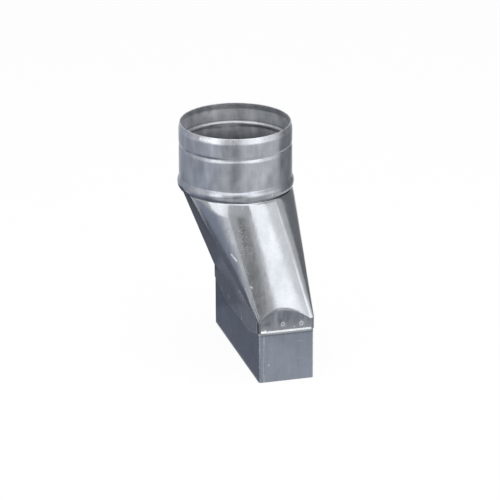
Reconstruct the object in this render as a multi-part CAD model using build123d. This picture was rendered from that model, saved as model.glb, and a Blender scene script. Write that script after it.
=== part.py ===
from build123d import *
import os

# Flat duct adapter: a round collar above, a flat rectangular stub below, and a formed
# transition between them.
#
# Frame: millimetres, +Z up. The origin is on the collar's axis, in the plane of the stub's
# open end. X runs across the narrow side of the stub, Y along its wide side. The stub
# stands off the collar's axis towards +X, and its wide wall there is flush with the collar.

# Driving dimensions.
collar_diameter = 100.0      # outside of the collar's straight wall
stub_narrow = 50.0           # outside of the stub along X
stub_wide = 150.0            # outside of the stub along Y
total_height = 218.6
sheet = 0.7                  # thickness of all three sheets
lead_in_height = 5.2         # tapered band at the collar's rim
lead_in_inset = 1.1          # how far that band draws the rim in
groove_level = 198.0
groove_height = 5.0
groove_depth = 0.9
bead_level = 165.0           # middle of the stop bead
bead_height = 9.4
bead_proud = 1.6             # how far the bead stands out of the collar's wall
neck_hold = 1.2              # top of the neck's curl above the middle of the bead
shoulder_level = 159.8       # where the neck leaves the transition's walls
wall_top_level = 164.0       # where the walls, drawn on upwards, reach the collar's size
tab_top_level = 57.2         # where the walls meet the upright tabs
short_tab_drop = 11.8
long_tab_drop = 19.4
chamfer_run = 29.0           # sloping end of a long tab, along Y
chamfer_rise = 9.0           # and along Z
corner_bend = 1.6            # outside radius of the stub's folded corners
corner_relief = 0.9          # opening between two tabs, from the corner; more than the sheet
short_side_bulge = 3.3       # how far the narrow walls swell beyond the tab's plane
flat_arc = 9.0               # half angle of the collar that a wide wall runs up to
round_arc = 27.0             # half angle of the collar that a narrow wall runs up to
lip_height = 2.4             # flared lip along the foot of a short tab
lip_flare = 0.9
spot_radius = 1.9            # pressed joining spots
spot_depth = 0.22
short_spots = ((-3.3, 3.1), (13.6, 3.8))     # along the tab from its middle, and below its top
long_spot_count = 5
long_spot_pitch = 24.0
long_spot_rise = 6.6         # above the foot of a long tab
seam_from_corner = 4.6       # edge of the stub's lap seam
seam_groove = 0.25           # between the lap's edge and the step beside it
seam_lap = 3.4

# Named clearances.
tab_gap = 0.1                # stub to tabs
neck_gap = 0.15              # neck to the inside of the collar and its bead
lap_gap = 0.05               # between the two layers of the lap seam
stub_in_tab = 0.8            # stub's inner end below the tabs' top

# How finely small curves are drawn, and how far a cutting tool passes what it cuts.
bead_chord_count = 6
groove_chord_count = 4
overrun = 1.0

# Derived sizes.
collar_radius = collar_diameter / 2
stub_offset = (collar_diameter - stub_narrow) / 2
stub_height = tab_top_level - stub_in_tab
tab_half_x = stub_narrow / 2 + tab_gap + sheet
tab_half_y = stub_wide / 2 + tab_gap + sheet
tab_bend = corner_bend + tab_gap + sheet
short_tab_level = tab_top_level - short_tab_drop
long_tab_level = tab_top_level - long_tab_drop
bead_top = bead_level + bead_height / 2
bead_foot = bead_level - bead_height / 2
bead_radius = collar_radius + bead_proud
neck_radius = collar_radius - sheet - neck_gap
neck_top = bead_level + neck_hold
neck_curl = bead_radius - sheet - neck_gap
curl_foot = neck_top - 3 * sheet
joggle = 2 * sheet           # length over which the lap seam steps inwards
tool_width = 4 * collar_radius


def chords(start, middle, end, count):
    """The arc from start over middle to end, as short straight edges that turn into light faces."""
    arc = Edge.make_three_point_arc(start, middle, end)
    points = [arc @ (step / count) for step in range(count + 1)]
    return [Edge.make_line(first, last) for first, last in zip(points, points[1:])]


def collar_side(inset):
    """One side of the collar's sheet, from the rim to the foot of the bead, in the XZ plane."""
    wall = collar_radius - inset
    half_groove = groove_height / 2
    rim = (wall - lead_in_inset, 0, total_height)
    band_foot = (wall, 0, total_height - lead_in_height)
    groove_top = (wall, 0, groove_level + half_groove)
    groove_mid = (wall - groove_depth, 0, groove_level)
    groove_foot = (wall, 0, groove_level - half_groove)
    bead_start = (wall, 0, bead_top)
    bead_mid = (wall + bead_proud, 0, bead_level)
    bead_end = (wall, 0, bead_foot)
    edges = [Edge.make_line(rim, band_foot), Edge.make_line(band_foot, groove_top)]
    edges += chords(groove_top, groove_mid, groove_foot, groove_chord_count)
    edges.append(Edge.make_line(groove_foot, bead_start))
    edges += chords(bead_start, bead_mid, bead_end, bead_chord_count)
    return edges


def round_collar():
    """The spigot: tapered rim, inward groove, straight wall and the bead that holds the neck."""
    outer = collar_side(0)
    inner = collar_side(sheet)
    rim = Edge.make_line(outer[0] @ 0, inner[0] @ 0)
    foot = Edge.make_line(outer[-1] @ 1, inner[-1] @ 1)
    section = Face(Wire(outer + [foot] + inner + [rim]))
    return revolve(section, Axis.Z, 360)


def foot_edges(inset, level):
    """The transition's outline at its foot, as eight edges, drawn in by the inset."""
    half_x = tab_half_x - inset
    half_y = tab_half_y - inset
    bend = tab_bend - inset
    swell = half_y + short_side_bulge
    right = stub_offset + half_x
    left = stub_offset - half_x
    edges = []
    for turn in (1, -1):
        near, far = (right, left) if turn == 1 else (left, right)
        side_start = (near, -turn * (half_y - bend), level)
        side_end = (near, turn * (half_y - bend), level)
        first_corner = (near - turn * bend, turn * half_y, level)
        second_corner = (far + turn * bend, turn * half_y, level)
        last = (far, turn * (half_y - bend), level)
        middle = (stub_offset, turn * swell, level)
        edges.append(Edge.make_line(side_start, side_end))
        edges.append(corner_arc(side_end, first_corner, bend, (near - turn * bend, side_end[1])))
        edges.append(Edge.make_three_point_arc(first_corner, middle, second_corner))
        edges.append(corner_arc(second_corner, last, bend, (far + turn * bend, side_end[1])))
    return edges


def corner_arc(start, end, bend, centre):
    """A quarter bend from start to end about the centre."""
    toward = Vector((start[0] + end[0]) / 2 - centre[0], (start[1] + end[1]) / 2 - centre[1], 0)
    middle = Vector(centre[0], centre[1], start[2]) + toward.normalized() * bend
    return Edge.make_three_point_arc(start, middle, end)


def head_edges(inset, level):
    """The transition's outline at its head: the collar's circle, cut where the foot's is."""
    radius = collar_radius - inset
    stops = [-flat_arc, flat_arc, 90 - round_arc, 90 + round_arc, 180 - flat_arc,
             180 + flat_arc, 270 - round_arc, 270 + round_arc, 360 - flat_arc]
    plane = Plane.XY.offset(level)
    return [Edge.make_circle(radius, plane, first, last) for first, last in zip(stops, stops[1:])]


def walls(inset):
    """The ruled body between the collar's circle and the stub's rectangle, as a solid."""
    foot = foot_edges(inset, tab_top_level)
    head = head_edges(inset, wall_top_level)
    faces = [Face.make_surface_from_curves(low, high) for low, high in zip(foot, head)]
    faces.append(Face(Wire(foot)))
    faces.append(Face(Wire(head)))
    body = Solid(Shell(faces))
    half_y = tab_half_y - inset
    limit = Box(tool_width, 2 * half_y, 2 * total_height)
    return body & limit


def slab(low, high):
    """A box wider than the part between two levels, for cutting."""
    return Pos(0, 0, (low + high) / 2) * Box(tool_width, tool_width, high - low)


def disc(radius, low, high):
    """A solid cylinder on the collar's axis between two levels."""
    return Pos(0, 0, (low + high) / 2) * Cylinder(radius, high - low)


def transition_shell():
    """The walls and the neck, one sheet thick, with the shoulder that joins them."""
    outer_walls = walls(0)
    inner_walls = walls(sheet)
    outer = outer_walls & slab(tab_top_level - overrun, shoulder_level)
    outer += disc(neck_radius, shoulder_level, curl_foot)
    below = inner_walls & slab(tab_top_level - overrun, shoulder_level - sheet)
    throat = disc(neck_radius - sheet, shoulder_level - sheet, shoulder_level + sheet)
    throat = throat & inner_walls
    above = disc(neck_radius - sheet, shoulder_level + sheet, neck_top)
    return outer - (below + throat + above)


def neck_curl_ring():
    """The outward curl on the neck's top edge, held inside the bead."""
    lines = Polyline((neck_radius, 0, curl_foot), (neck_curl, 0, neck_top - sheet / 2),
                     (neck_curl - sheet / 2, 0, neck_top), (neck_radius - sheet, 0, curl_foot),
                     close=True)
    return revolve(Face(Wire(lines.edges())), Axis.Z, 360)


def short_tab():
    """The upright tab on the narrow side at -Y, with the flared lip along its foot."""
    front = -tab_half_y
    lip_top = short_tab_level + lip_height
    lip_front = front - lip_flare
    lines = Polyline((0, front, tab_top_level), (0, front, lip_top),
                     (0, lip_front, short_tab_level), (0, lip_front + sheet, short_tab_level),
                     (0, front + sheet, lip_top), (0, front + sheet, tab_top_level), close=True)
    half = tab_half_x - corner_relief
    tab = Pos(stub_offset, 0, 0) * extrude(Face(Wire(lines.edges())), half, (1, 0, 0), both=True)
    for along, down in short_spots:
        tab -= Pos(stub_offset + along, front, tab_top_level - down) * spot((0, -1, 0))
    return tab


def spot(outward):
    """A shallow round press mark, as the ball that cuts it."""
    ball = (spot_radius**2 + spot_depth**2) / (2 * spot_depth)
    away = Vector(*outward) * (ball - spot_depth)
    return Pos(away.X, away.Y, away.Z) * Sphere(ball)


def long_tab():
    """The deeper upright tab on the wide side at -X, with its sloping ends."""
    face = stub_offset - tab_half_x
    end = tab_half_y - corner_relief
    flat = end - chamfer_run
    end_level = long_tab_level + chamfer_rise
    lines = Polyline((face, -end, tab_top_level), (face, -end, end_level),
                     (face, -flat, long_tab_level), (face, flat, long_tab_level),
                     (face, end, end_level), (face, end, tab_top_level), close=True)
    tab = extrude(Face(Wire(lines.edges())), sheet, (1, 0, 0))
    for step in range(long_spot_count):
        along = (step - (long_spot_count - 1) / 2) * long_spot_pitch
        tab -= Pos(face, along, long_tab_level + long_spot_rise) * spot((-1, 0, 0))
    return tab


def transition_body():
    """The formed piece between collar and stub: walls, neck and the four upright tabs."""
    body = transition_shell() + neck_curl_ring()
    narrow = short_tab()
    wide = long_tab()
    for tab in (narrow, mirror(narrow, Plane.XZ)):
        body += tab
    for tab in (wide, mirror(wide, Plane.YZ.offset(stub_offset))):
        body += tab
    return body


def folded_tube(half_x, half_y, bend, height):
    """A solid block with the four folded corners of the stub."""
    block = Pos(stub_offset, 0, height / 2) * Box(2 * half_x, 2 * half_y, height)
    return fillet(block.edges().filter_by(Axis.Z), bend)


def flat_stub():
    """The rectangular tube, folded from one sheet and lapped close to its corner at -X, -Y."""
    half_x = stub_narrow / 2
    half_y = stub_wide / 2
    outer = folded_tube(half_x, half_y, corner_bend, stub_height)
    inner = folded_tube(half_x - sheet, half_y - sheet, corner_bend - sheet, stub_height)
    tube = outer - inner
    left = stub_offset - half_x
    edge = left + seam_from_corner
    inside = -half_y + sheet
    tube -= Pos(edge + seam_groove / 2, -half_y, 0) * Box(seam_groove, 3 * sheet, 3 * stub_height)
    back = inside + lap_gap
    step = edge + seam_groove
    end = edge - seam_lap
    lines = Polyline((step + joggle, inside, 0), (step, inside, 0), (edge, back, 0), (end, back, 0),
                     (end, back + sheet, 0), (step, back + sheet, 0), close=True)
    tongue = extrude(Face(Wire(lines.edges())), stub_height, (0, 0, 1))
    return tube + tongue


os.makedirs("parts", exist_ok=True)
export_step(round_collar(), "parts/round_collar.step")
export_step(transition_body(), "parts/transition_body.step")
export_step(flat_stub(), "parts/flat_stub.step")
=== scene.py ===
import math

import bpy
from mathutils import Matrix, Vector, noise


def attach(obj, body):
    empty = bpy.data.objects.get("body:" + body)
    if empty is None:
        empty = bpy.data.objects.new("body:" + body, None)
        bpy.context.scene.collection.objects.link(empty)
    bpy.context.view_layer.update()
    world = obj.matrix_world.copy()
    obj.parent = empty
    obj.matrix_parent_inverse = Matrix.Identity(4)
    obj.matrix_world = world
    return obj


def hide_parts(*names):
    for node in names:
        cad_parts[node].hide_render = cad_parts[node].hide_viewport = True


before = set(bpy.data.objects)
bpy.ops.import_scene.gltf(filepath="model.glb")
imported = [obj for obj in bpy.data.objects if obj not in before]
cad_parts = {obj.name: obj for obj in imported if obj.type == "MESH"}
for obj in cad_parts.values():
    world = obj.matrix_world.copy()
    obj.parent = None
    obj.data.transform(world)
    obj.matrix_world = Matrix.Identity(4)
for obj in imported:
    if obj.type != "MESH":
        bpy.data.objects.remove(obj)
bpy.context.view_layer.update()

# Lengths are in millimetres, as in the part's source; a mesh is made in metres.
MM = 0.001
SHEET = 0.7
EDGE_BREAK = 0.12        # width of the sheets' broken edges
EDGE_ANGLE = 50          # an edge is broken where it turns by more than this, in degrees

# The unevenness of formed metal is a broad noise and a share of a finer one.
FINER = 2.3
FINE_SHARE = 0.4

# The collar.
COLLAR_R = 50.0
TOP = 218.6
LEAD_IN = 5.2
LEAD_INSET = 1.1
GROOVE_Z = 199.0
GROOVE_H = 5.4
GROOVE_D = 0.8
BEAD_Z = 165.0
BEAD_H = 9.4
BEAD_OUT = 1.6
RIM_LIFT = 1.7           # how far the rim's far side stands above its near side
LIFT_FOOT = 172.0        # the collar is true below this level
LIFT_FULL = 192.0

# The neck and the transition's walls.
NECK_GAP = 0.15
NECK_R = COLLAR_R - SHEET - NECK_GAP
NECK_TOP = BEAD_Z + 1.2
CURL_R = COLLAR_R + BEAD_OUT - SHEET - NECK_GAP
CURL_FOOT = NECK_TOP - 3 * SHEET
SHOULDER = 159.8
SHOULDER_ROUND = 6.5     # height of the rounded edge under the shoulder
SHOULDER_IN = 1.1        # how far it draws in
HOLLOW_AT = -120.0       # middle of the shallow hollow at the shoulder, in degrees from +X
HOLLOW_SPREAD = 27.0     # how far it reaches to either side, in degrees
HOLLOW_DEPTH = 1.5
HOLLOW_FOOT = 149.0
HOLLOW_RISE = 10.0       # height over which it deepens
WALL_TOP = 164.0
FLAT_ARC = 9.0           # degrees of the circle that belong to half of a wide wall
ROUND_ARC = 27.0         # degrees of the circle that belong to half of a narrow wall
SWELL = 3.3
SWELL_LEAN = 0.02        # the arch stands higher at its -X end

# The tabs.
TAB_TOP = 57.2
LEAST_ARCH = TAB_TOP + 1.0   # level at which a wall ends where it has no arch
SHORT_FOOT = TAB_TOP - 11.8
LONG_FOOT = TAB_TOP - 19.4
CHAMFER_RUN = 29.0
CHAMFER_RISE = 9.0
RELIEF = 0.9
LIP_H = 3.3
LIP_OUT = 0.9
LIP_ROLL = 1.7           # height of the lip's rolled foot, below its widest place
LIP_TUCK = 0.45          # how far the rolled foot turns in again
TAB_GAP = 0.1
SPOT_R = 1.9
SPOT_DEPTH = 0.22
SPOT_SLOPE = 1.15        # above 1, so that a spot has a flat middle
SPOT_RIM_H = 0.07        # height of the raised ring round a spot
SPOT_RIM_OUT = 0.3       # from the spot's edge to the middle of the ring
SPOT_RIM_W = 0.6         # half of the ring's width
SHORT_SPOTS = ((-3.3, 54.1), (13.6, 53.4))
LONG_SPOTS = tuple((24.0 * (i - 2), 44.4) for i in range(5))

# The stub.
STUB_X = 25.0            # its middle, off the collar's axis
HALF_X = 25.0
HALF_Y = 75.0
BEND = 1.6
STUB_H = TAB_TOP - 0.8
SEAM_EDGE = 4.6
SEAM_GROOVE = 0.25
SEAM_STEP = 1.1          # width of the step down to the lower layer
SEAM_LAP = 3.4
LAP_GAP = 0.05

TAB_X = HALF_X + TAB_GAP + SHEET
TAB_Y = HALF_Y + TAB_GAP + SHEET
TAB_BEND = BEND + TAB_GAP + SHEET
FRONT = -TAB_Y           # the plane of the short tab in front
SIDE = STUB_X - TAB_X    # the plane of the long tab at -X

# How finely the meshes are divided.
COLLAR_COLUMNS = 300
LEAD_ROWS = 8
ABOVE_GROOVE_ROWS = 10
GROOVE_ROWS = 16
BELOW_GROOVE_ROWS = 24
BEAD_ROWS = 20
WIDE_COLUMNS = 50
SPOT_COLUMNS = (-2.3, -1.7, -1.1, -0.5, 0.1, 0.7, 1.3, 1.9)   # more of them, beside each long tab's spot
NARROW_COLUMNS = 72
BEND_COLUMNS = 18
SHOULDER_DROPS = (0.05, 0.35, 0.8, 1.3, 1.9)
WALL_ROWS = 60
ARCH_ROWS = 4
SHORT_TAB_ROWS = 24
LIP_ROWS = 12
LONG_TAB_ROWS = 32
STUB_ROWS = 44
STUB_WIDE_COLUMNS = 90
STUB_NARROW_COLUMNS = 34
STUB_BEND_COLUMNS = 8

# The finish: cells of each pattern in a metre, and the scale in height of the two that run upwards.
SPANGLE_GRAIN = 170.0
CLOUD_GRAIN = 34.0
RUN_GRAIN = 105.0
DRAWN_GRAIN = 430.0
SPECK_GRAIN = 900.0
# The next grain breaks up wear and painted highlights alike.
WEAR_AND_HIGHLIGHT_GRAIN = 620.0
DUST_GRAIN = 1050.0
RUN_STRETCH = 0.35
DRAWN_STRETCH = 0.06
# The tone of rubbed zinc and painted highlights, and the tone of dirt and painted shade.
WORN_AND_HIGHLIGHT_TONE = (0.80, 0.81, 0.83, 1)
DIRT_AND_SHADE_TONE = (0.10, 0.11, 0.13, 1)
STREAK_CORE = 0.35       # share of a streak's width within which it is at full strength
RING_R = 1.6             # radius of the painted highlight ring round a joining spot
RING_CORE = 0.15         # distance from the ring's line within which it is at full strength
RING_END = 0.55          # distance at which it ends
DUST_CORE = 0.18         # the same two distances for a speck, in cells, and its strength
DUST_END = 0.38
DUST_STRENGTH = 0.62
DUST_PICK = 0.66         # a cell whose own number is above this has a speck

# The photo's view of the part, in degrees from +X and above the floor.
VIEW_AZIMUTH = -105.318
VIEW_RISE = 20.731
VIEW_ROLL = -0.231

# The camera and the set are in metres, apart from the sensor and the two lengths in pixels.
CAMERA_AIM = Vector((0.013369, 0, 0.096302))
CAMERA_AWAY = 2.7015
CAMERA_SHIFT = 0.001     # share of the picture's width
SENSOR_MM = 36
PICTURE_PIXELS = 500
FOCAL_PIXELS = 3027.6
LAMP_AIM = Vector((0.01, 0, 0.11))
FLOOR_HALF = 4.0
FLOOR_DROP = 0.0003      # keeps the floor clear of the stub's foot
CARD_RISE = 0.0003       # height of a flat card

# The surround's light on things, and the share of plain white in what the floor shows.
WORLD_LIGHT = 0.35
WORLD_BLUE = 1.03        # its blue, against its red and green
FLOOR_GLOW = 0.94


def clamp(value, low=0.0, high=1.0):
    return max(low, min(high, value))


def smooth(value):
    """Rises evenly from 0 to 1 as the value does."""
    value = clamp(value)
    return value * value * (3 - 2 * value)


def hump(value, middle, width):
    """A soft hill of height 1 that ends one width from its middle."""
    return smooth(1 - abs(value - middle) / width)


def spread(start, end, count):
    """Evenly spaced values from start to end, one more than count."""
    return [start + (end - start) * i / count for i in range(count + 1)]


def arc_through(a, b, c, count):
    """Points of the circle arc from a over b to c, in two coordinates."""
    ax, ay = a
    bx, by = b
    cx, cy = c
    aa = ax**2 + ay**2
    bb = bx**2 + by**2
    cc = cx**2 + cy**2
    d = 2 * (ax * (by - cy) + bx * (cy - ay) + cx * (ay - by))
    ux = (aa * (by - cy) + bb * (cy - ay) + cc * (ay - by)) / d
    uy = (aa * (cx - bx) + bb * (ax - cx) + cc * (bx - ax)) / d
    r = math.hypot(ax - ux, ay - uy)
    first = math.atan2(ay - uy, ax - ux)
    last = math.atan2(cy - uy, cx - ux)
    middle = math.atan2(by - uy, bx - ux)
    turn = (last - first) % (2 * math.pi)
    if (middle - first) % (2 * math.pi) > turn:
        turn -= 2 * math.pi
    angles = [first + turn * i / count for i in range(count + 1)]
    return [(ux + r * math.cos(angle), uy + r * math.sin(angle)) for angle in angles]


def sheet_faces(rows, closed):
    """Points and faces of a sheet through rows that run the same way round, from the top down."""
    width = len(rows[0])
    points = [tuple(c * MM for c in p) for row in rows for p in row]
    faces = []
    for r in range(len(rows) - 1):
        for c in range(width if closed else width - 1):
            n = (c + 1) % width
            faces.append((r * width + c, (r + 1) * width + c, (r + 1) * width + n, r * width + n))
    return points, faces


def make_object(name, points, faces):
    mesh = bpy.data.meshes.new(name)
    mesh.from_pydata(points, [], faces)
    mesh.update()
    mesh.shade_smooth()
    thing = bpy.data.objects.new(name, mesh)
    bpy.context.scene.collection.objects.link(thing)
    return thing


def waver(thing, depth, size, seed, hold):
    """Pushes the sheet in and out a little, as hand-formed metal is; hold fades it near set places."""
    mesh = thing.data
    normals = [v.normal.copy() for v in mesh.vertices]
    for v, n in zip(mesh.vertices, normals):
        p = v.co / (size * MM)
        broad = noise.noise(p + Vector((seed, 0, 0)))
        fine = noise.noise(FINER * p + Vector((0, seed, 0)))
        v.co += n * (broad + FINE_SHARE * fine) * hold(v.co / MM) * depth * MM
    mesh.update()


def thicken(thing):
    """Gives a sheet its thickness inwards, with broken edges; its inner side has its own finish."""
    solid = thing.modifiers.new("thickness", "SOLIDIFY")
    solid.thickness = SHEET * MM
    solid.offset = -1
    solid.use_even_offset = True
    solid.material_offset = 1
    edge = thing.modifiers.new("broken_edge", "BEVEL")
    edge.width = EDGE_BREAK * MM
    edge.segments = 2
    edge.limit_method = "ANGLE"
    edge.angle_limit = math.radians(EDGE_ANGLE)
    edge.use_clamp_overlap = True


def paint(thing, name, rule):
    """A number from 0 to 1 at each point of the mesh, which its material reads."""
    layer = thing.data.attributes.new(name, "FLOAT", "POINT")
    for i, v in enumerate(thing.data.vertices):
        layer.data[i].value = clamp(rule(v.co / MM))


def collar_profile():
    """Radius and level down the collar's outside, from the rim to the foot of the bead."""
    r = COLLAR_R
    groove_top = GROOVE_Z + GROOVE_H / 2
    groove_foot = GROOVE_Z - GROOVE_H / 2
    bead_top = BEAD_Z + BEAD_H / 2
    bead_foot = BEAD_Z - BEAD_H / 2
    points = []
    for i in range(LEAD_ROWS + 1):
        points.append((r - LEAD_INSET + LEAD_INSET * i / LEAD_ROWS, TOP - LEAD_IN * i / LEAD_ROWS))
    points += [(r, z) for z in spread(TOP - LEAD_IN, groove_top, ABOVE_GROOVE_ROWS)[1:]]
    for z in spread(groove_top, groove_foot, GROOVE_ROWS)[1:]:
        points.append((r - GROOVE_D * hump(z, GROOVE_Z, GROOVE_H / 2), z))
    points += [(r, z) for z in spread(groove_foot, bead_top, BELOW_GROOVE_ROWS)[1:]]
    points += arc_through((r, bead_top), (r + BEAD_OUT, BEAD_Z), (r, bead_foot), BEAD_ROWS)[1:]
    return points


def collar():
    """The rolled round spigot, with its rim raised at the far side."""
    view = math.radians(VIEW_AZIMUTH)
    toward = Vector((math.cos(view), math.sin(view)))
    rows = []
    for r, z in collar_profile():
        share = smooth((z - LIFT_FOOT) / (LIFT_FULL - LIFT_FOOT))
        row = []
        for i in range(COLLAR_COLUMNS):
            turn = 2 * math.pi * i / COLLAR_COLUMNS
            side = Vector((math.cos(turn), math.sin(turn)))
            lift = RIM_LIFT * share * (1 - side.dot(toward)) / 2
            row.append((r * side.x, r * side.y, z + lift))
        rows.append(row)
    points, faces = sheet_faces(rows, True)
    thing = make_object("round_collar_sheet", points, faces)
    waver(thing, depth=0.10, size=26, seed=3.1, hold=lambda p: clamp((TOP - p.z) / 20))

    def lead_in(p):
        """1 on the lead-in band."""
        return smooth((p.z - (TOP - LEAD_IN)) / 0.6)

    def groove(p):
        """1 at the middle of the groove, and 0 a little beyond its edges."""
        return hump(p.z, GROOVE_Z, GROOVE_H * 0.75)

    def rolled(p):
        """The bands that rollers have pressed and burnished."""
        return max(lead_in(p), groove(p), hump(p.z, BEAD_Z, BEAD_H * 0.65))

    def wear_and_highlight(p):
        """The rim's edge rubbed bright, and less of a painted highlight on the lead-in and the groove.
        """
        return max(0.5 * hump(p.z, TOP + 0.4, 1.2), 0.25 * lead_in(p), 0.15 * groove(p))

    def dirt_and_shade(p):
        """A thin line of painted shade along the foot of the bead."""
        return 0.1 * hump(p.z, BEAD_Z - BEAD_H / 2, 1.6)

    paint(thing, "rolled", rolled)
    paint(thing, "wear_and_highlight", wear_and_highlight)
    paint(thing, "dirt_and_shade", dirt_and_shade)
    thicken(thing)
    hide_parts("round_collar")
    return thing


def wide_run():
    """Shares along a wide side, closer together where the spots are pressed."""
    half = TAB_Y - TAB_BEND
    places = spread(-half, half, WIDE_COLUMNS)
    for along, _ in LONG_SPOTS:
        places += [along + step for step in SPOT_COLUMNS]
    return [(y + half) / (2 * half) for y in sorted(places)]


def columns():
    """The body's columns, as foot, head and the side that they stand on, anticlockwise from above."""
    b = TAB_BEND
    half = TAB_Y - b
    right = STUB_X + TAB_X
    left = STUB_X - TAB_X
    wide = wide_run()
    corner = spread(0, 1, BEND_COLUMNS)
    long_way = spread(0, 1, NARROW_COLUMNS)
    found = []

    def add(foot, shares, first, last, side):
        """Columns from the points of a foot to the circle between two angles, without the last one."""
        for point, share in list(zip(foot, shares))[:-1]:
            a = math.radians(first + (last - first) * share)
            found.append((point, (COLLAR_R * math.cos(a), COLLAR_R * math.sin(a)), side))

    def bend(cx, cy, start):
        """The foot of a bent corner, a quarter turn from its start angle."""
        turns = [math.radians(start + 90 * t) for t in corner]
        return [(cx + b * math.cos(a), cy + b * math.sin(a)) for a in turns]

    def narrow(turn):
        """The swollen foot of a narrow side; turn is 1 at +Y and -1 at -Y."""
        top = (STUB_X, TAB_Y + SWELL)
        arc = arc_through((right - b, TAB_Y), top, (left + b, TAB_Y), NARROW_COLUMNS)
        points = [(x, turn * max(TAB_Y, y - SWELL_LEAN * (x - STUB_X))) for x, y in arc]
        return points if turn == 1 else points[::-1]

    up = [-half + 2 * half * t for t in wide]
    add([(right, y) for y in up], wide, -FLAT_ARC, FLAT_ARC, "right")
    add(bend(right - b, half, 0), corner, FLAT_ARC, 90 - ROUND_ARC, "corner")
    add(narrow(1), long_way, 90 - ROUND_ARC, 90 + ROUND_ARC, "back")
    add(bend(left + b, half, 90), corner, 90 + ROUND_ARC, 180 - FLAT_ARC, "corner")
    add([(left, -y) for y in up], wide, 180 - FLAT_ARC, 180 + FLAT_ARC, "left")
    add(bend(left + b, -half, 180), corner, 180 + FLAT_ARC, 270 - ROUND_ARC, "corner")
    add(narrow(-1), long_way, 270 - ROUND_ARC, 270 + ROUND_ARC, "front")
    add(bend(right - b, -half, 270), corner, 270 + ROUND_ARC, 360 - FLAT_ARC, "corner")
    return found


def wall_point(column, z):
    """The point of a column at a level, on the straight line from foot to head.

    It is drawn in at the shoulder and the hollow, and kept off the tabs' planes."""
    (fx, fy), (hx, hy), _ = column
    t = (z - TAB_TOP) / (WALL_TOP - TAB_TOP)
    x = fx + (hx - fx) * t
    y = fy + (hy - fy) * t
    inset = 0.0
    if z > SHOULDER - SHOULDER_ROUND:
        u = clamp((z - SHOULDER + SHOULDER_ROUND) / SHOULDER_ROUND)
        inset = SHOULDER_IN * (1 - math.sqrt(1 - u * u))
    around = math.degrees(math.atan2(hy, hx))
    deepening = smooth((z - HOLLOW_FOOT) / HOLLOW_RISE)
    inset += HOLLOW_DEPTH * hump(around, HOLLOW_AT, HOLLOW_SPREAD) * deepening
    shrink = 1 - inset / math.hypot(x, y)
    return (x * shrink, clamp(y * shrink, -TAB_Y, TAB_Y), z)


def arch_level(column):
    """The level at which a column meets the plane of its narrow tab."""
    (_, fy), (_, hy), _ = column
    if abs(fy) <= TAB_Y:
        return LEAST_ARCH
    t = (abs(fy) - TAB_Y) / (abs(fy) - abs(hy))
    return max(LEAST_ARCH, TAB_TOP + t * (WALL_TOP - TAB_TOP))


def long_foot(y):
    """The level of a long tab's lower edge."""
    end = TAB_Y - RELIEF
    flat = end - CHAMFER_RUN
    return LONG_FOOT + CHAMFER_RISE * clamp((abs(y) - flat) / CHAMFER_RUN)


def press(along, z, spots):
    """How far a joining spot pushes the tab's face in at a place, with its raised ring."""
    depth = 0.0
    for middle, level in spots:
        d = math.hypot(along - middle, z - level)
        depth += SPOT_DEPTH * smooth(SPOT_SLOPE * (1 - d / SPOT_R))
        depth -= SPOT_RIM_H * hump(d, SPOT_R + SPOT_RIM_OUT, SPOT_RIM_W)
    return depth


def tab_point(column, z):
    """The point of a column on its tab, below the walls."""
    x, y, _ = wall_point(column, TAB_TOP)
    side = column[2]
    if side in ("front", "back"):
        rise = z - SHORT_FOOT
        out = LIP_OUT * smooth((LIP_H - rise) / (LIP_H - LIP_ROLL))
        out -= LIP_TUCK * clamp(1 - rise / LIP_ROLL) ** 2
        out -= press(x - STUB_X, z, SHORT_SPOTS)
        return (x, y + math.copysign(out, y), z)
    inward = press(y, z, LONG_SPOTS)
    return (x + (inward if x < STUB_X else -inward), y, z)


def tab_foot(column):
    """The level at which a column's tab ends."""
    (_, y), _, side = column
    return SHORT_FOOT if side in ("front", "back") else long_foot(y)


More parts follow.
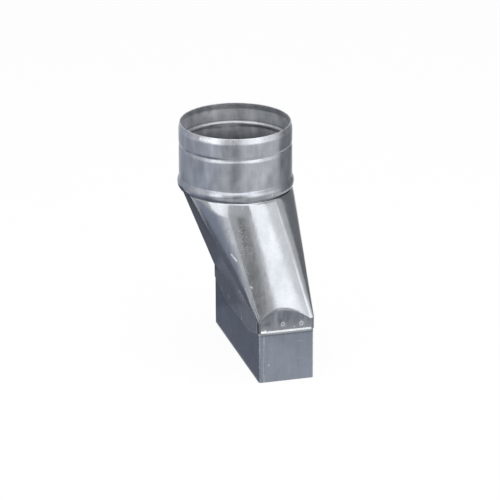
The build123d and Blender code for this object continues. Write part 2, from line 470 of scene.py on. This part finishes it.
def body():
    """The transition with its neck, walls and four tabs."""
    ring = columns()
    count = len(ring)
    angles = [math.atan2(head[1], head[0]) for _, head, _ in ring]
    profile = ((CURL_R, NECK_TOP - SHEET / 2),
               (NECK_R, CURL_FOOT),
               (NECK_R, SHOULDER + SHEET),
               (NECK_R, SHOULDER))
    rows = []
    for r, z in profile:
        rows.append([(r * math.cos(a), r * math.sin(a), z) for a in angles])
    for drop in SHOULDER_DROPS:
        rows.append([wall_point(c, SHOULDER - drop) for c in ring])
    start = SHOULDER - SHOULDER_ROUND
    arches = [arch_level(c) for c in ring]
    for i in range(WALL_ROWS + 1):
        levels = [start + (arch - start) * i / WALL_ROWS for arch in arches]
        rows.append([wall_point(c, z) for c, z in zip(ring, levels)])
    for i in range(1, ARCH_ROWS + 1):
        levels = [arch + (TAB_TOP - arch) * i / ARCH_ROWS for arch in arches]
        rows.append([wall_point(c, z) for c, z in zip(ring, levels)])
    points, faces = sheet_faces(rows, True)
    last = (len(rows) - 1) * count

    def hang(side, shares):
        """Continues the columns of one side downwards as its tab, a row at each share of the way."""
        run = [i for i, c in enumerate(ring) if c[2] == side]
        above = [last + i for i in run]
        for share in shares[1:]:
            line = []
            for i in run:
                z = TAB_TOP + (tab_foot(ring[i]) - TAB_TOP) * share
                line.append(len(points))
                points.append(tuple(c * MM for c in tab_point(ring[i], z)))
            for a in range(len(run) - 1):
                faces.append((above[a], line[a], line[a + 1], above[a + 1]))
            above = line

    lip_start = 1 - LIP_H / (TAB_TOP - SHORT_FOOT)
    short_rows = spread(0, lip_start, SHORT_TAB_ROWS) + spread(lip_start, 1, LIP_ROWS)[1:]
    long_rows = spread(0, 1, LONG_TAB_ROWS)
    hang("front", short_rows)
    hang("back", short_rows)
    hang("left", long_rows)
    hang("right", long_rows)
    thing = make_object("transition_sheet", points, faces)

    def hold(p):
        """Fades the unevenness out towards the tabs and the shoulder."""
        above_tabs = clamp((p.z - 60) / 25)
        below_shoulder = clamp((157 - p.z) / 12)
        return above_tabs * below_shoulder

    def dirt_and_shade(p):
        """Painted shade under the collar's bead, and darker along the lips, most of it at the lips' -X
        ends.
        """
        neck = smooth((p.z - SHOULDER + 0.6) / 0.6)
        lip = hump(p.z, SHORT_FOOT + 1.0, 2.0) * smooth((abs(p.y) - TAB_Y + 0.1) / 0.15)
        toward_end = smooth((14 - p.x) / 14)
        return max(0.2 * neck, lip * (0.08 + 0.6 * toward_end))

    waver(thing, depth=0.08, size=34, seed=7.7, hold=hold)
    paint(thing, "rolled", lambda p: smooth((p.z - SHOULDER + SHOULDER_ROUND) / 1.5))
    paint(thing, "wear_and_highlight", lambda p: 0.0)
    paint(thing, "dirt_and_shade", dirt_and_shade)
    thicken(thing)
    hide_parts("transition_body")
    return thing


def stub_path():
    """The folded sheet's path seen from above, from the lap's outer edge round to its tongue."""
    b = BEND
    x0 = STUB_X - HALF_X
    x1 = STUB_X + HALF_X
    y0 = -HALF_Y
    y1 = HALF_Y

    def corner(cx, cy, start):
        """A bent corner, a quarter turn clockwise from its start angle, without its first point."""
        turns = [math.radians(start - 90 * i / STUB_BEND_COLUMNS) for i in range(STUB_BEND_COLUMNS + 1)]
        return [(cx + b * math.cos(a), cy + b * math.sin(a)) for a in turns[1:]]

    path = [(x, y0) for x in spread(x0 + SEAM_EDGE, x0 + b, 5)]
    path += corner(x0 + b, y0 + b, 270)
    path += [(x0, y) for y in spread(y0 + b, y1 - b, STUB_WIDE_COLUMNS)[1:]]
    path += corner(x0 + b, y1 - b, 180)
    path += [(x, y1) for x in spread(x0 + b, x1 - b, STUB_NARROW_COLUMNS)[1:]]
    path += corner(x1 - b, y1 - b, 90)
    path += [(x1, y) for y in spread(y1 - b, y0 + b, STUB_WIDE_COLUMNS)[1:]]
    path += corner(x1 - b, y0 + b, 0)
    step = x0 + SEAM_EDGE + SEAM_GROOVE
    path += [(x, y0) for x in spread(x1 - b, step, STUB_NARROW_COLUMNS)[1:]]
    back = y0 + SHEET + LAP_GAP
    path += [(step - 0.3, y0 + 0.25), (step - 0.7, back - 0.12), (step - SEAM_STEP, back)]
    path += [(x, back) for x in spread(step - SEAM_STEP, x0 + SEAM_EDGE - SEAM_LAP, 4)[1:]]
    return path


def stub():
    """The folded rectangular tube with its lap seam."""
    path = stub_path()
    rows = [[(x, y, z) for x, y in path] for z in spread(STUB_H, 0, STUB_ROWS)]
    points, faces = sheet_faces(rows, False)
    thing = make_object("flat_stub_sheet", points, [f[::-1] for f in faces])

    def wear_and_highlight(p):
        """The folds and the seam's edge, made bright as a painted highlight."""
        from_fold = min(abs(p.x - STUB_X + HALF_X), abs(p.x - STUB_X - HALF_X)) + HALF_Y - abs(p.y)
        fold = smooth(1.5 - from_fold) * smooth(SHORT_FOOT - p.z)
        in_front = smooth((5 - HALF_Y - p.y) / 2)
        edge = hump(p.x, STUB_X - HALF_X + SEAM_EDGE, 0.5) * in_front
        return max(0.85 * fold, 0.5 * edge)

    def dirt_and_shade(p):
        """Painted shade along the short tabs' feet and behind the tabs."""
        along_foot = hump(p.z, SHORT_FOOT - 1.0, 2.5)
        behind = smooth(p.z - SHORT_FOOT - 1.0)
        return max(0.2 * along_foot, 0.6 * behind)

    waver(thing, depth=0.08, size=36, seed=1.9, hold=lambda p: clamp((42 - p.z) / 12))
    paint(thing, "rolled", lambda p: 0.0)
    paint(thing, "wear_and_highlight", wear_and_highlight)
    paint(thing, "dirt_and_shade", dirt_and_shade)
    thicken(thing)
    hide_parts("flat_stub")
    return thing


class Nodes:
    """A material's node tree, with short ways to add the few kinds of node that are used here."""

    def __init__(self, name):
        self.material = bpy.data.materials.new(name)
        self.material.use_nodes = True
        self.tree = self.material.node_tree
        self.shader = self.tree.nodes["Principled BSDF"]
        self.place = self.new("ShaderNodeTexCoord").outputs["Object"]

    def new(self, kind):
        return self.tree.nodes.new(kind)

    def feed(self, value, socket):
        """Links an output to a socket, or sets a plain number or vector on it."""
        if isinstance(value, bpy.types.NodeSocket):
            self.tree.links.new(value, socket)
        else:
            socket.default_value = value

    def maths(self, kind, a, b=0.0, clamped=False):
        node = self.new("ShaderNodeMath")
        node.operation = kind
        node.use_clamp = clamped
        self.feed(a, node.inputs[0])
        self.feed(b, node.inputs[1])
        return node.outputs[0]

    def times(self, a, b):
        return self.maths("MULTIPLY", a, b)

    def most(self, a, b):
        return self.maths("MAXIMUM", a, b)

    def total(self, *parts):
        result = parts[0]
        for part in parts[1:]:
            result = self.maths("ADD", result, part)
        return result

    def vector(self, kind, a, b, result="Vector"):
        node = self.new("ShaderNodeVectorMath")
        node.operation = kind
        self.feed(a, node.inputs[0])
        self.feed(b, node.inputs["Scale" if kind == "SCALE" else 1])
        return node.outputs[result]

    def remap(self, value, low, high, to_low, to_high):
        """Carries a value from one span over to another, and stops at its ends."""
        node = self.new("ShaderNodeMapRange")
        node.inputs["From Min"].default_value = low
        node.inputs["From Max"].default_value = high
        node.inputs["To Min"].default_value = to_low
        node.inputs["To Max"].default_value = to_high
        self.feed(value, node.inputs["Value"])
        return node.outputs["Result"]

    def blend(self, share, a, b):
        """A colour between a, where the share is 0, and b, where it is 1."""
        node = self.new("ShaderNodeMix")
        node.data_type = "RGBA"
        self.feed(share, node.inputs[0])
        self.feed(a, node.inputs[6])
        self.feed(b, node.inputs[7])
        return node.outputs[2]

    def carried(self, name):
        """The number of that name that is painted on the mesh."""
        node = self.new("ShaderNodeAttribute")
        node.attribute_name = name
        return node.outputs["Fac"]

    def stretched(self, share):
        """Places with their height scaled by a share, which draws a pattern out upwards."""
        node = self.new("ShaderNodeMapping")
        node.inputs["Scale"].default_value = (1.0, 1.0, share)
        self.feed(self.place, node.inputs["Vector"])
        return node.outputs["Vector"]

    def grain(self, scale, detail, where=None):
        """Noise, centred on 0."""
        node = self.new("ShaderNodeTexNoise")
        node.inputs["Scale"].default_value = scale
        node.inputs["Detail"].default_value = detail
        self.feed(where or self.place, node.inputs["Vector"])
        return self.maths("SUBTRACT", node.outputs["Fac"], 0.5)

    def cells(self, scale):
        """Cells: the distance from a cell's middle, and two numbers that each cell has for itself."""
        node = self.new("ShaderNodeTexVoronoi")
        node.inputs["Scale"].default_value = scale
        self.feed(self.place, node.inputs["Vector"])
        split = self.new("ShaderNodeSeparateColor")
        self.feed(node.outputs["Color"], split.inputs["Color"])
        return node.outputs["Distance"], split.outputs["Red"], split.outputs["Green"]

    def dots(self, scale):
        """Small round specks, in about a third of the cells."""
        distance, pick, _ = self.cells(scale)
        near = self.remap(distance, DUST_END, DUST_CORE, 0.0, DUST_STRENGTH)
        picked = self.remap(pick, DUST_PICK - 0.02, DUST_PICK + 0.02, 0.0, 1.0)
        return self.times(near, picked)

    def streak(self, start, end, width):
        """1 along the line from start to end, given in millimetres, and 0 a width away from it."""
        a = Vector(start) * MM
        along = Vector(end) * MM - a
        off = self.vector("SUBTRACT", self.place, tuple(a))
        share = self.vector("DOT_PRODUCT", off, tuple(along / along.length_squared), "Value")
        share = self.maths("ADD", share, 0.0, True)
        away = self.vector("SUBTRACT", off, self.vector("SCALE", tuple(along), share))
        far = self.vector("LENGTH", away, (0, 0, 0), "Value")
        return self.remap(far, width * MM, STREAK_CORE * width * MM, 0.0, 1.0)

    def ring(self, middle, radius):
        """1 on a ring round a place, given in millimetres, and 0 half a millimetre beside it."""
        off = self.vector("SUBTRACT", self.place, tuple(Vector(middle) * MM))
        far = self.vector("LENGTH", off, (0, 0, 0), "Value")
        beside = self.maths("ABSOLUTE", self.maths("SUBTRACT", far, radius * MM))
        return self.remap(beside, RING_END * MM, RING_CORE * MM, 0.0, 1.0)


def brightened(n, light, rings, dust):
    """How far a sheet is made bright by wear, scratches, dust and painted highlights, from 0 to 1."""
    broken = n.remap(n.grain(WEAR_AND_HIGHLIGHT_GRAIN, 3.0), -0.16, 0.06, 0.35, 1.0)
    wear_and_highlight = n.times(n.carried("wear_and_highlight"), broken)
    # Scratches and marks, some of them painted highlights.
    for start, end, width, strength in light:
        line = n.times(n.streak(start, end, width), broken)
        wear_and_highlight = n.most(wear_and_highlight, n.times(line, strength))
    # The rings are painted highlights.
    for middle, radius in rings:
        wear_and_highlight = n.most(wear_and_highlight, n.times(n.ring(middle, radius), 0.5))
    for start, end, width in dust:
        wear_and_highlight = n.most(wear_and_highlight, n.times(n.streak(start, end, width), n.dots(DUST_GRAIN)))
    return wear_and_highlight


def darkened(n, dark, shade):
    """How far a sheet is darkened by dirt and painted shade, from 0 to 1."""
    dirt_and_shade = n.carried("dirt_and_shade")
    # Marks, some of them painted shade.
    for start, end, width, strength in dark:
        dirt_and_shade = n.most(dirt_and_shade, n.times(n.streak(start, end, width), strength))
    # Painted shade inside: deeper down, and in a band at the ridge's level.
    if shade:
        low, high, ridge = shade
        axes = n.new("ShaderNodeSeparateXYZ")
        n.feed(n.place, axes.inputs["Vector"])
        level = axes.outputs["Z"]
        deep = n.remap(level, low * MM, high * MM, 0.75, 0.0)
        beside = n.maths("ABSOLUTE", n.maths("SUBTRACT", level, ridge * MM))
        band = n.remap(beside, 2.4 * MM, 1.2 * MM, 0.0, 0.5)
        dirt_and_shade = n.most(dirt_and_shade, n.most(deep, band))
    return dirt_and_shade


def zinc(name, tone, rough, spangle=0.04, stain=0.5, light=(), dark=(), rings=(), dust=(), shade=None):
    """Galvanised sheet: spangle, stains, drawing lines and specks, with the wear, painted highlights and
    painted shade that the mesh carries.

    light and dark are scratches and marks, among them painted highlights and painted shade, each as
    start, end, width and strength. rings are painted highlights on the rims of joining spots, each as
    middle and radius. dust is specks strewn along a line, as start, end and width. shade is painted
    shade: a low and a high level between which the sheet gets lighter, and the level of a band of it."""
    n = Nodes(name)
    n.shader.inputs["Metallic"].default_value = 1.0
    _, cell_tone, cell_rough = n.cells(SPANGLE_GRAIN)
    cloud = n.grain(CLOUD_GRAIN, 3.0)
    runs = n.grain(RUN_GRAIN, 4.0, n.stretched(RUN_STRETCH))
    drawn = n.grain(DRAWN_GRAIN, 3.0, n.stretched(DRAWN_STRETCH))
    speck = n.grain(SPECK_GRAIN, 2.0)
    wear_and_highlight = brightened(n, light, rings, dust)
    dirt_and_shade = darkened(n, dark, shade)

    shift = n.total(n.remap(cell_tone, 0, 1, -spangle, spangle),
                    n.times(cloud, 0.35),
                    n.times(runs, stain),
                    n.times(speck, 0.16),
                    n.times(drawn, 0.12))
    clean = n.vector("SCALE", tone, n.maths("ADD", shift, 1.0))
    # Wear and painted highlights lift the colour toward a bright tone; dirt and painted shade lower it
    # toward a dark one.
    bright = n.blend(n.maths("MULTIPLY", wear_and_highlight, 0.9, True), clean, WORN_AND_HIGHLIGHT_TONE)
    dirty_and_shaded = n.blend(n.maths("MULTIPLY", dirt_and_shade, 0.8, True), bright, DIRT_AND_SHADE_TONE)
    n.feed(dirty_and_shaded, n.shader.inputs["Base Color"])

    uneven = n.total(n.remap(cell_rough, 0, 1, -0.03, 0.03),
                     n.times(cloud, -0.16),
                     n.times(runs, 0.14),
                     n.times(drawn, 0.16))
    burnished = n.times(n.carried("rolled"), -0.25 * rough)
    scuffed = n.times(wear_and_highlight, 0.35)
    n.feed(n.total(uneven, burnished, scuffed, rough), n.shader.inputs["Roughness"])

    relief = n.total(n.times(drawn, 0.5), n.times(speck, 0.3), cloud)
    bump = n.new("ShaderNodeBump")
    bump.inputs["Strength"].default_value = 0.3
    bump.inputs["Distance"].default_value = 0.0002
    n.feed(relief, bump.inputs["Height"])
    n.feed(bump.outputs["Normal"], n.shader.inputs["Normal"])
    return n.material


def on_collar(azimuth, z, out=0.0):
    """A place on the collar, some way out from its wall."""
    a = math.radians(azimuth)
    return ((COLLAR_R + out) * math.cos(a), (COLLAR_R + out) * math.sin(a), z)


def collar_finish():
    """The collar's outside: thin dark lines and soft stains, and a painted highlight arc on the lead-in.
    """
    dark = [(on_collar(-102.4, 181), on_collar(-102.4, 195), 0.45, 0.6),
            (on_collar(-101.7, 172), on_collar(-101.6, 178), 0.3, 0.4),
            (on_collar(-106.4, 163, 1.5), on_collar(-106.4, 168, 1.5), 0.4, 0.6),
            (on_collar(-103, 183), on_collar(-103, 190), 5, 0.25),
            (on_collar(-116, 202), on_collar(-115, 213), 6, 0.25),
            (on_collar(-127, 174), on_collar(-124, 188), 7, 0.15),
            (on_collar(-88, 176), on_collar(-89, 186), 5, 0.15)]
    light = [(on_collar(-67, 163, 1.5), on_collar(-66, 165, 1.6), 0.5, 0.9),
             # painted highlight: a bright arc along the left part of the lead-in band
             (on_collar(-142, 216, -0.6), on_collar(-125, 216, -0.6), 3.0, 1.0),
             (on_collar(-74, 181), on_collar(-72, 188), 6, 0.12),
             (on_collar(-136, 178), on_collar(-134, 184), 6, 0.08)]
    return zinc("collar_zinc", (0.325, 0.342, 0.37), 0.36, stain=1.05, light=light, dark=dark)


def body_finish():
    """The transition's outside: scratches, specks, painted highlights on edges, ridges and joining
    spots, and painted shade in creases.
    """
    walls = [((-18.6, -53.8, 115.6), (-15.0, -57.4, 110.6), 0.9, 1.0),
             ((-4.8, -66.9, 88.8), (-3.6, -67.2, 87.6), 1.3, 0.6),
             ((-7.8, -50.3, 157.5), (-7.6, -51.6, 152.0), 0.45, 0.35),
             ((-4.6, -50.6, 157.5), (-4.4, -52.0, 152.0), 0.45, 0.3),
             # painted highlight along the ridge up from the near-left corner
             ((-2.2, -72.4, 60.0), (-6.4, -67.9, 76.4), 0.7, 0.5),
             ((-6.4, -67.9, 76.4), (-9.0, -64.7, 86.8), 0.6, 0.35),
             # painted highlight: a thin bright line down the right part of the front
             ((22.9, -45.0, 161.1), (27.3, -51.9, 139.9), 0.6, 0.35),
             ((27.3, -51.9, 139.9), (31.5, -56.9, 122.0), 0.6, 0.3),
             ((-19.8, -48.6, 146.0), (-18.7, -50.4, 139.0), 0.4, 0.6)]
    # The first of these is a painted highlight along the right half of the arch.
    short_tab = [((37.6, FRONT, 63.8), (49.6, FRONT, 55.4), 0.4, 0.4),
                 ((2.6, FRONT, 48.4), (5.8, FRONT, 49.2), 1.4, 0.8),
                 ((32.0, FRONT, 50.7), (32.6, FRONT, 50.8), 0.7, 0.6)]
    # These three are painted highlights on the long tab's cut lower edge, near its -Y end.
    long_tab = [((SIDE, -72, 46.3), (SIDE, -60, 42.6), 0.5, 0.4),
                ((SIDE, -69, 48.5), (SIDE, -66.5, 45.5), 0.6, 0.5),
                ((SIDE, -62, 50.0), (SIDE, -60, 47.0), 0.5, 0.3)]
    # Light marks at the joining spots at 48 and 24, and painted highlights at -21 and 69.
    for y, z in ((69, 47.7), (48, 43.8), (24, 44.6), (-21, 41.5)):
        long_tab.append(((SIDE, y, z - 1.1), (SIDE, y, z + 1.1), 2.0, 0.9))
    dust = [((-10.0, -54.0, 138.0), (-5.5, -59.0, 120.0), 6.0),
            ((-8.5, -62.5, 103.0), (-4.6, -66.8, 88.5), 3.0),
            ((-20.5, -49.0, 140.0), (-15.5, -56.0, 118.0), 2.2),
            ((-11.3, -57.2, 122.5), (-8.5, -62.5, 103.0), 2.6)]
    # Painted shade along the crease where the wide wall meets its tab.
    crease = [((SIDE, 75, 57.8), (SIDE - 2.9, 20, 63.5), 3.2, 0.7),
              ((SIDE - 2.9, 20, 63.5), (SIDE, -60, 57.8), 3.2, 0.7)]
    # Painted shade along the left half of the arch and just under it.
    arch = [((3.0, FRONT, 54.6), (9.0, FRONT, 55.4), 2.6, 0.4),
            ((2.0, FRONT, 59.4), (8.0, FRONT, 63.9), 2.2, 0.5),
            ((8.0, FRONT, 63.9), (15.5, FRONT, 67.8), 2.2, 0.5)]
    # Painted highlights on the raised rings round the short tab's joining spots.
    rings = [((STUB_X + along, FRONT, level), RING_R) for along, level in SHORT_SPOTS]
    return zinc("body_zinc", (0.33, 0.345, 0.365), 0.2, spangle=0.02, stain=0.3,
                light=walls + short_tab + long_tab, dark=crease + arch, rings=rings, dust=dust)


def stub_finish():
    """The stub's outside: a painted highlight on a corner fold, a few fine scratches and a painted
    shadow line under the lip.
    """
    fold = 0.3 * BEND
    light = [((9.0, -HALF_Y, 16.0), (9.2, -HALF_Y, 16.6), 0.6, 0.7),
             ((0.0, 1.6 - HALF_Y, 45.4), (1.6, -HALF_Y, 45.2), 1.7, 1.0),
             # painted highlight down the middle of the near-left corner fold
             ((fold, fold - HALF_Y, 1.0), (fold, fold - HALF_Y, SHORT_FOOT - 1), 0.6, 0.35),
             ((46.1, -HALF_Y, 37.0), (46.1, -HALF_Y, 44.0), 0.4, 0.15),
             ((34.0, -HALF_Y, 36.4), (41.5, -HALF_Y, 36.0), 0.3, 0.2),
             ((33.0, -HALF_Y, 20.6), (39.0, -HALF_Y, 20.2), 0.3, 0.15)]
    # painted shadow: a dark line under the short tab's lip
    dark = [((1.5, -HALF_Y, 44.3), (49.5, -HALF_Y, 44.3), 0.9, 0.8)]
    return zinc("stub_zinc", (0.23, 0.255, 0.30), 0.3, spangle=0.02, stain=0.2, light=light, dark=dark)


def inner_finish():
    """The inner side of all three sheets: painted shade below the groove, and a band of painted shade
    just above it.
    """
    # Its tone, about twice the collar's outside, is painted light inside the collar.
    return zinc("inner_zinc", (0.66, 0.68, 0.71), 0.48, stain=0.9, shade=(187, 197, 202.4))


def shown_white(tree, lit, share):
    """Mixes plain white into what the camera, gloss and glass see of a shader, and returns the mix."""
    nodes, links = tree.nodes, tree.links
    ray = nodes.new("ShaderNodeLightPath")
    seen = ray.outputs["Is Camera Ray"]
    for kind in ("Is Glossy Ray", "Is Transmission Ray"):
        either = nodes.new("ShaderNodeMath")
        either.operation = "MAXIMUM"
        links.new(seen, either.inputs[0])
        links.new(ray.outputs[kind], either.inputs[1])
        seen = either.outputs[0]
    part = nodes.new("ShaderNodeMath")
    part.operation = "MULTIPLY"
    links.new(seen, part.inputs[0])
    part.inputs[1].default_value = share
    mix = nodes.new("ShaderNodeMixShader")
    links.new(part.outputs[0], mix.inputs["Fac"])
    links.new(lit, mix.inputs[1])
    return mix


def surround():
    """The world: soft even light on things, plain white to look at."""
    world = bpy.data.worlds.new("surround")
    bpy.context.scene.world = world
    world.use_nodes = True
    tree = world.node_tree
    back = tree.nodes["Background"]
    back.inputs["Color"].default_value = (WORLD_LIGHT, WORLD_LIGHT, WORLD_LIGHT * WORLD_BLUE, 1)
    white = tree.nodes.new("ShaderNodeBackground")
    white.inputs["Color"].default_value = (1, 1, 1, 1)
    mix = shown_white(tree, back.outputs["Background"], 1.0)
    tree.links.new(white.outputs["Background"], mix.inputs[2])
    tree.links.new(mix.outputs["Shader"], tree.nodes["World Output"].inputs["Surface"])


def floor():
    """A wide pale floor that keeps the part's shadow."""
    side = FLOOR_HALF
    points = [(-side, -side, 0), (side, -side, 0), (side, side, 0), (-side, side, 0)]
    mesh = bpy.data.meshes.new("floor")
    mesh.from_pydata(points, [], [(0, 1, 2, 3)])
    thing = bpy.data.objects.new("floor", mesh)
    bpy.context.scene.collection.objects.link(thing)
    thing.location.z = -FLOOR_DROP
    mat = bpy.data.materials.new("floor_white")
    mat.use_nodes = True
    tree = mat.node_tree
    shader = tree.nodes["Principled BSDF"]
    shader.inputs["Base Color"].default_value = (0.95, 0.95, 0.95, 1)
    shader.inputs["Roughness"].default_value = 0.8
    shader.inputs["Specular IOR Level"].default_value = 0.1
    glow = tree.nodes.new("ShaderNodeEmission")
    mix = shown_white(tree, shader.outputs["BSDF"], FLOOR_GLOW)
    tree.links.new(glow.outputs["Emission"], mix.inputs[2])
    tree.links.new(mix.outputs["Shader"], tree.nodes["Material Output"].inputs["Surface"])
    mesh.materials.append(mat)


def place(azimuth, distance, height):
    """A place in the set, by its direction in degrees from +X, its distance and its height."""
    a = math.radians(azimuth)
    return Vector((distance * math.cos(a), distance * math.sin(a), height))


def softbox(name, where, wide, high, strength):
    """A soft lamp that faces the part; its strength is per area, so a larger one is no brighter."""
    data = bpy.data.lights.new(name, "AREA")
    data.shape = "RECTANGLE"
    data.size = wide
    data.size_y = high
    data.energy = strength * math.pi * wide * high
    thing = bpy.data.objects.new(name, data)
    thing.location = where
    thing.rotation_euler = (LAMP_AIM - where).to_track_quat("-Z", "Y").to_euler()
    bpy.context.scene.collection.objects.link(thing)


def flag(name, where, wide, high, grey, turn=0.0, flat=False, blue=0.0):
    """A card by the part that glows a steady grey, on edge or flat on the floor: a painted darker
    reflection in the metal.

    Metal mirrors it. The camera and matt surfaces don't see it, and it casts no shadow."""
    points = [(-wide / 2, 0, 0), (wide / 2, 0, 0), (wide / 2, 0, high), (-wide / 2, 0, high)]
    if flat:
        points = [(x, z, 0) for x, _, z in points]
    mesh = bpy.data.meshes.new(name)
    mesh.from_pydata(points, [], [(0, 1, 2, 3)])
    thing = bpy.data.objects.new(name, mesh)
    thing.location = where
    thing.rotation_euler.z = math.radians(turn)
    mat = bpy.data.materials.new(name)
    mat.use_nodes = True
    nodes = mat.node_tree.nodes
    glow = nodes.new("ShaderNodeEmission")
    glow.inputs["Color"].default_value = ((1 - blue / 3) * grey, grey, (1 + blue) * grey, 1)
    mat.node_tree.links.new(glow.outputs["Emission"], nodes["Material Output"].inputs["Surface"])
    mesh.materials.append(mat)
    thing.visible_camera = False
    thing.visible_diffuse = False
    thing.visible_shadow = False
    bpy.context.scene.collection.objects.link(thing)


def camera():
    """The camera at the photo's place, with its framing."""
    data = bpy.data.cameras.new("camera")
    data.sensor_width = SENSOR_MM
    data.lens = FOCAL_PIXELS * SENSOR_MM / PICTURE_PIXELS
    data.shift_x = -CAMERA_SHIFT
    data.shift_y = CAMERA_SHIFT
    data.clip_end = 20
    cam = bpy.data.objects.new("camera", data)
    bpy.context.scene.collection.objects.link(cam)
    turn = math.radians(VIEW_AZIMUTH)
    rise = math.radians(VIEW_RISE)
    out = Vector((math.cos(turn) * math.cos(rise), math.sin(turn) * math.cos(rise), math.sin(rise)))
    cam.location = CAMERA_AIM + out * CAMERA_AWAY
    cam.rotation_euler = (-out).to_track_quat("-Z", "Y").to_euler()
    cam.rotation_euler.rotate_axis("Z", math.radians(VIEW_ROLL))
    bpy.context.scene.camera = cam


def studio():
    """White surround and floor, three softboxes beside the part, one above, and glowing grey cards round
    it as painted darker reflections.
    """
    bpy.context.scene.view_settings.view_transform = "Standard"
    surround()
    floor()
    softbox("right_box", place(-66, 1.35, 0.40), 0.78, 0.80, 1.65)
    softbox("side_box", place(-37, 1.35, 0.35), 0.57, 0.70, 0.7)
    softbox("left_box", place(-144, 1.35, 0.40), 0.64, 0.80, 1.6)
    softbox("top_box", place(-105, 0.4, 1.5), 2.3, 3.0, 1.45)
    # Glowing cards seen only in the metal: painted darker reflections.
    flag("flag_right", place(16, 0.34, 0), 0.34, 0.55, 0.33, turn=106, blue=0.06)
    flag("flag_left", place(135, 0.40, 0), 0.40, 0.55, 0.60, turn=45, blue=0.14)
    flag("flag_back", Vector((-0.063, 0.11, 0.038)), 0.186, 0.087, 0.12, blue=0.25)
    flag("flag_back_low", Vector((-0.063, 0.11, 0)), 0.186, 0.038, 0.185, blue=0.25)
    flag("flag_front", place(-113, 0.50, 0), 0.26, 0.10, 0.38, turn=-23)
    flag("flag_band", place(-101, 0.50, 0.10), 0.16, 0.09, 0.42, turn=-11)
    flag("flag_low", Vector((-0.1305, -0.12, CARD_RISE)), 0.26, 0.24, 0.26, flat=True, blue=0.20)
    flag("flag_side", Vector((-0.50, -0.22, CARD_RISE)), 0.48, 0.38, 0.58, flat=True, blue=0.22)
    flag("flag_edge", Vector((-0.56, -0.62, CARD_RISE)), 0.44, 0.40, 0.72, flat=True, blue=0.16)
    flag("flag_tab", Vector((0.065, -0.265, CARD_RISE)), 0.11, 0.07, 0.33, flat=True, blue=0.18)
    camera()


inside = inner_finish()
for piece, outside in ((collar(), collar_finish()), (body(), body_finish()), (stub(), stub_finish())):
    piece.data.materials.append(outside)
    piece.data.materials.append(inside)
    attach(piece, "root")
studio()
